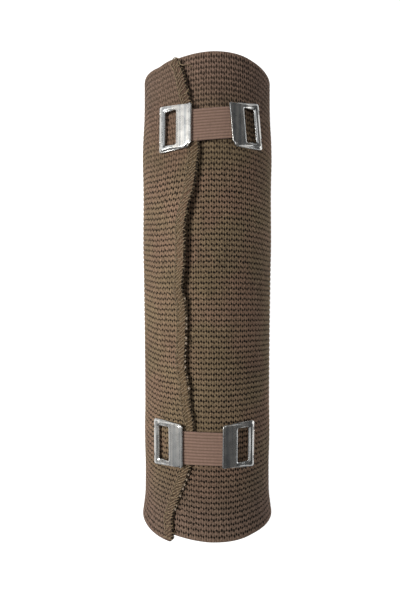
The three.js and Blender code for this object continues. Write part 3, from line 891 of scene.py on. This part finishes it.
def stampedSteel():
    # nickel-plated mild steel, stamped and tumbled: a satin mirror with faint smudges and with
    # lines drawn up the sheet, which are drawn about 1 mm apart, coarser than real ones, to show
    material, tree, shader = newMaterial("stampedNickelSteel")
    place = addNode(tree, "TexCoord").outputs["Object"]
    drawn = addNode(tree, "Mapping", inputs={"Vector": place, "Scale": (1100, 25, 1100)}).outputs[0]
    lines = addNode(tree, "TexNoise", inputs={"Vector": drawn, "Scale": 1.0, "Detail": 3.0}).outputs[0]
    smudge = addNode(tree, "TexNoise", inputs={"Vector": place, "Scale": 420.0, "Detail": 4.0}).outputs[0]
    sockets = {"lines": lines, "smudge": smudge}
    addTable(tree, sockets, [
        ("streaks", "MapRange", "SMOOTHSTEP", "lines", 0.36, 0.62, 0.0, 1.0),
        ("tint", "Mix", "MIX", "streaks", "#a2a4a5", "#c6c4c0"),
        ("rough", "MapRange", "LINEAR", "smudge", 0.3, 0.7, 0.22, 0.33),
    ])
    bump = addNode(tree, "Bump", inputs={"Strength": 0.25, "Distance": 0.00004, "Height": lines})
    tree.links.new(sockets["tint"], shader.inputs["Base Color"])
    tree.links.new(sockets["rough"], shader.inputs["Roughness"])
    tree.links.new(bump.outputs[0], shader.inputs["Normal"])
    shader.inputs["Metallic"].default_value = 1.0
    return material


band = {
    "ribs": 11,
    "ribHeight": 0.08,  # all in mm but the counts
    "steps": 90,  # from clasp to clasp
    "heldSteps": 8,  # inside each clasp
    "edge": 0.15,  # the round of its two edges
    "weft": 0.42,  # from one cross thread to the next
    "held": 2.6,  # the length at each end that lies squeezed between tongue and pad
    "swell": (0.25, 1.6),  # how far past that the band grows to its full thickness
}


def bandPath(left, right, shifts):
    # flat inside each clasp, and between them a taut span: a cubic whose handles are so short
    # that it leaves the clasps in their own planes and is straight in between
    startX, exitX, reach = padStart + 0.7, padEdge - 1.6, 1.7  # its end, its way out, a handle

    def spot(place, x):
        # the right clasp is turned right round, so that its own y runs down
        y = shifts[0] if place is left else -shifts[1]
        return inFrame(place, np.array([x, y, clip["bandMiddle"]]))

    leave, arrive = spot(left, exitX), spot(right, exitX)
    handles = [leave, spot(left, exitX + reach), spot(right, exitX + reach), arrive]
    t = np.linspace(0, 1, band["steps"])[:, None]
    bend = ((1 - t) ** 3 * handles[0] + 3 * t * (1 - t) ** 2 * handles[1]
            + 3 * t**2 * (1 - t) * handles[2] + t**3 * handles[3])
    into = np.linspace(0, 1, band["heldSteps"], endpoint=False)[:, None]
    begin = spot(left, startX) + (leave - spot(left, startX)) * into
    finish = arrive + (spot(right, startX) - arrive) * (into + 1 / band["heldSteps"])
    return np.concatenate([begin, bend, finish])


def bandPiece(name, left, right, shifts, wide, material):
    # a ribbed section carried along the path, its width turning evenly from one clasp's to the
    # other's: each rib is a half sine across the band, made rounder by a power
    path = bandPath(left, right, shifts)
    t = np.linspace(0, 1, len(path))[:, None]
    across = left[2] * (1 - t) - right[2] * t
    across /= np.linalg.norm(across, axis=1, keepdims=True)
    ahead = np.gradient(path, axis=0)
    ahead /= np.linalg.norm(ahead, axis=1, keepdims=True)
    off = np.cross(ahead, across)
    half, edge = wide / 2, band["edge"]
    top = np.linspace(half - edge, -half + edge, band["ribs"] * 6 + 1)
    ribs = np.abs(np.sin(np.pi * band["ribs"] * (top + half) / wide)) ** 0.7
    fromEnd = np.minimum(*(np.linalg.norm(path - path[k], axis=1) for k in (0, -1))) / mm
    free = smoothStep(*band["swell"], fromEnd - band["held"])[:, None]
    thick = (clip["bandSqueezed"] + (clip["bandThick"] - clip["bandSqueezed"]) * free) / 2
    under = np.linspace(-half + edge, half - edge, 23)
    turn = np.radians([-45, 0, 45])
    sideways = np.concatenate([top, -half + edge - edge * np.cos(turn),
                               under, half - edge + edge * np.cos(turn)])
    height = np.concatenate([thick - band["ribHeight"] * (1 - ribs), -thick * np.sin(turn) * 0.8,
                             under * 0 - thick, thick * np.sin(turn) * 0.8], axis=1)
    section = across[:, None] * sideways[None, :, None] + off[:, None] * height[..., None]
    points = path[:, None] + section * mm
    count, around = points.shape[:2]
    length = np.cumsum(np.concatenate([[0], np.linalg.norm(np.diff(path, axis=0), axis=1)]))
    # across the band the UV counts ribs, in mm, so that one material fits both widths
    uv = np.stack([length[:, None] + 0 * sideways[None, :],
                   (sideways[None, :] + half) * band["ribs"] / wide * mm + 0 * t], axis=-1)
    # a fan about its middle closes each end
    ring, hub, last = np.arange(around), count * around, (count - 1) * around
    after = (ring + 1) % around
    near = np.stack([after, ring, 0 * ring + hub], axis=-1)
    far = np.stack([last + ring, last + after, 0 * ring + hub + 1], axis=-1)
    allPoints = np.concatenate([points.reshape(-1, 3), points[[0, -1]].mean(axis=1)])
    allUv = np.concatenate([uv.reshape(-1, 2), uv[[0, -1], 0]])
    quads = gridFaces(count, around, closeColumns=True)[:, ::-1]
    return meshPiece(name, allPoints, quads, material, np.concatenate([near, far]), allUv)


def ribbedElastic():
    # rubber cores wrapped in viscose and woven flat: pinkish brown cords side by side, crossed by
    # a fine weft, with painted shade in the lines between the cords and in the dips of the weft
    material, tree, shader = newMaterial("wovenRibElastic")
    uv = addNode(tree, "UVMap", {"uv_map": "cloth"}).outputs[0]
    scale = (1 / (band["weft"] * mm), 1 / mm, 1)
    counted = addNode(tree, "Mapping", inputs={"Vector": uv, "Scale": scale}).outputs[0]
    axes = addNode(tree, "SeparateXYZ", inputs=[counted]).outputs
    cloud = addNode(tree, "TexNoise", {"noise_dimensions": "2D"},
                    {"Vector": counted, "Scale": 0.7, "Detail": 3.0}).outputs[0]
    sockets = {"wefts": axes[0], "cords": axes[1], "cloud": cloud}
    addTable(tree, sockets, [
        # both threads' heights are half sines, the cord's made rounder by a power
        ("cordAngle", "Math", "MULTIPLY", "cords", math.pi),
        ("cordWave", "Math", "SINE", "cordAngle"),
        ("cordSize", "Math", "ABSOLUTE", "cordWave"),
        ("cord", "Math", "POWER", "cordSize", 0.6),
        ("weftAngle", "Math", "MULTIPLY", "wefts", math.pi),
        ("weftWave", "Math", "SINE", "weftAngle"),
        ("weft", "Math", "ABSOLUTE", "weftWave"),
        ("dyed", "Mix", "MIX", "cloud", "#9b7c6e", "#886e5e"),
        # painted shade: darker in the weft's dips and a touch lighter on its crests, and dark brown in the
        # gaps between the cords
        ("weftShade", "MapRange", "LINEAR", "weft", 0.0, 1.0, 0.8, 1.04),
        ("crossed", "Mix", "MULTIPLY", 1.0, "dyed", "weftShade"),
        ("gap", "Math", "SUBTRACT", 1.0, "cord"),
        ("gapDark", "Math", "MULTIPLY", "gap", 0.8),
        ("lined", "Mix", "MIX", "gapDark", "crossed", "#4d352c"),
        ("height", "Math", "ADD", "cord", "weft"),
    ])
    bump = addNode(tree, "Bump", inputs={"Strength": 0.5, "Distance": 0.0001, "Height": sockets["height"]})
    tree.links.new(sockets["lined"], shader.inputs["Base Color"])
    tree.links.new(bump.outputs[0], shader.inputs["Normal"])
    shader.inputs["Roughness"].default_value = 0.8
    shader.inputs["Sheen Weight"].default_value = 0.1
    return material


# The view, the surface it lies on and the light

camera = {
    "lens": 25.98,  # mm, as a phone's wide lens sees
    "frame": 36,  # mm, its height
    "height": 154.2,  # mm above the roll's axis
    "left": 2.9,  # mm to the left of the axis
    "down": 1.07,  # mm below the roll's middle
}


def makeCamera():
    # straight above, a little to the left of the axis and below the middle, looking down
    data = bpy.data.cameras.new("camera")
    data.sensor_fit = "VERTICAL"
    data.sensor_height = camera["frame"]
    data.lens = camera["lens"]
    data.clip_start = 0.01
    eye = bpy.data.objects.new("camera", data)
    place = (axisX - camera["left"], middleY - camera["down"], axisHeight + camera["height"])
    eye.location = np.array(place) * mm
    bpy.context.scene.collection.objects.link(eye)
    bpy.context.scene.camera = eye


def makeFloor():
    # opal glass over a dim lamp, so that the shadows on it stay pale
    material, tree, shader = newMaterial("opalGlass")
    shader.inputs["Base Color"].default_value = toLinear("#9a9a9a")
    shader.inputs["Roughness"].default_value = 0.9
    shader.inputs["Emission Color"].default_value = toLinear("#ffffff")
    shader.inputs["Emission Strength"].default_value = 0.95
    corners = np.array([(-1, -1, 0), (1, -1, 0), (1, 1, 0), (-1, 1, 0)], float) * 1.5
    floor = meshPiece("floor", corners, np.array([[0, 1, 2, 3]]), material)


lights = [
    # name, place in m, size in m, power in W, colour
    ("lamp", (-0.33, 0.04, 0.39), (0.15, 0.15), 2.25, "#fffdf8"),
    ("upperLeftWindow", (-0.37, 0.24, 0.33), (0.26, 0.26), 0.17, "#ffffff"),
    ("topWindow", (-0.32, 0.36, 0.1), (0.3, 0.18), 0.26, "#ffffff"),
    ("leftWall", (-0.44, -0.2, 0.2), (0.3, 0.3), 0.112, "#ffffff"),
    ("rightWall", (0.45, 0.0, 0.08), (0.3, 0.16), 0.46, "#ffffff"),
    ("ceilingBack", (0.05, 0.2, 0.5), (0.22, 0.16), 0.166, "#ffffff"),
    ("ceilingFront", (0.05, -0.2, 0.5), (0.22, 0.16), 0.13, "#ffffff"),
]
room = 0.1  # brightness of the room's plain white walls


def makeLights():
    # soft panels that the metal mirrors, each turned to the roll, and a dim white room
    for name, place, (wide, high), power, colour in lights:
        data = bpy.data.lights.new(name, "AREA")
        data.shape = "RECTANGLE"
        data.size, data.size_y = wide, high
        data.energy = power
        data.color = toLinear(colour)[:3]
        lamp = bpy.data.objects.new(name, data)
        lamp.location = place
        aim = Vector((0, 0, 0.02)) - Vector(place)  # at the roll's axis
        lamp.rotation_euler = aim.to_track_quat("-Z", "Y").to_euler()
        bpy.context.scene.collection.objects.link(lamp)
    world = bpy.data.worlds.new("room")
    world.use_nodes = True
    world.node_tree.nodes["Background"].inputs["Color"].default_value = toLinear("#ffffff")
    world.node_tree.nodes["Background"].inputs["Strength"].default_value = room
    bpy.context.scene.world = world
    bpy.context.scene.view_settings.view_transform = "Standard"


makeCamera()
makeFloor()
makeLights()
print("stage: camera, floor and lights")

# the outer turn in three equal lengths, each of whole holes
cloth = knittedCloth()
endReach = math.radians(roll["turnEnd"] - roll["flapMean"]) * (roll["radius"] + pitch / 2)
third = round(endReach / 3 / knit["holePitch"]) * knit["holePitch"]
reaches = [0, third, 2 * third, 3 * third]
clothFaces = 0
for number in range(3):
    piece = clothLength(f"outer_turn_{number + 1}", reaches[number], reaches[number + 1], cloth)
    finishPiece(piece, "knitted_cloth", "bandage")
    clothFaces += len(piece.data.polygons)
print("stage: outer turn,", clothFaces, "faces")

# the inner turns, whose length is the sum of their steps round the middle of the cloth
innerStart = float(flapAngle(np.array(reaches[-1]), 0.5))
innerAngles = np.arange(innerStart, 360 * (roll["radius"] - roll["coreRadius"]) / pitch, spiral["step"])
winding = innerWinding(innerAngles, cloth)
finishPiece(winding, "knitted_cloth", "bandage")
innerLength = sum(np.radians(spiral["step"]) * (roll["radius"] - pitch * angle / 360) for angle in innerAngles)
stripLength = round(innerLength + reaches[-1])
print("stage: inner turns,", len(winding.data.polygons), "faces, strip", stripLength, "mm")

threads = sewingThread("spunPolyesterThread", "#836c56")
paleThreads = sewingThread("spunPolyesterLooper", "#d6c6bc")
for name, path, radius, material in (
    ("hem_overlock", overlockPath(), hem["thread"], threads),
    ("hem_needle_line", needleLinePath(), hem["thread"], threads),
    ("hem_edge_loops", edgeLoopPath(), hem["rimThread"], threads),
    ("hem_tail", tailPath(), hem["rimThread"], threads),
):
    finishPiece(threadPiece(name, path, radius, material), "knitted_cloth")
finishPiece(knotPiece("hem_knots", paleThreads), "knitted_cloth")
print("stage: overlocked hem")

steel = stampedSteel()
elastic = ribbedElastic()
for clipName, sides in claspPlaces.items():
    places = {side: claspFrame(*sides[side][:4]) for side in sides}
    for side, place in places.items():
        node = f"{clipName}_{side}_clasp"
        finishPiece(claspPiece(node + "_sheet", place, sides[side][4], steel), "clasp_steel", node)
    node = f"{clipName}_band"
    shifts = (sides["left"][5], sides["right"][5])
    strap = bandPiece(node + "_elastic", places["left"], places["right"], shifts,
                      clip["bandWidth"][clipName], elastic)
    finishPiece(strap, "elastic_band", node)
print("stage: clips")
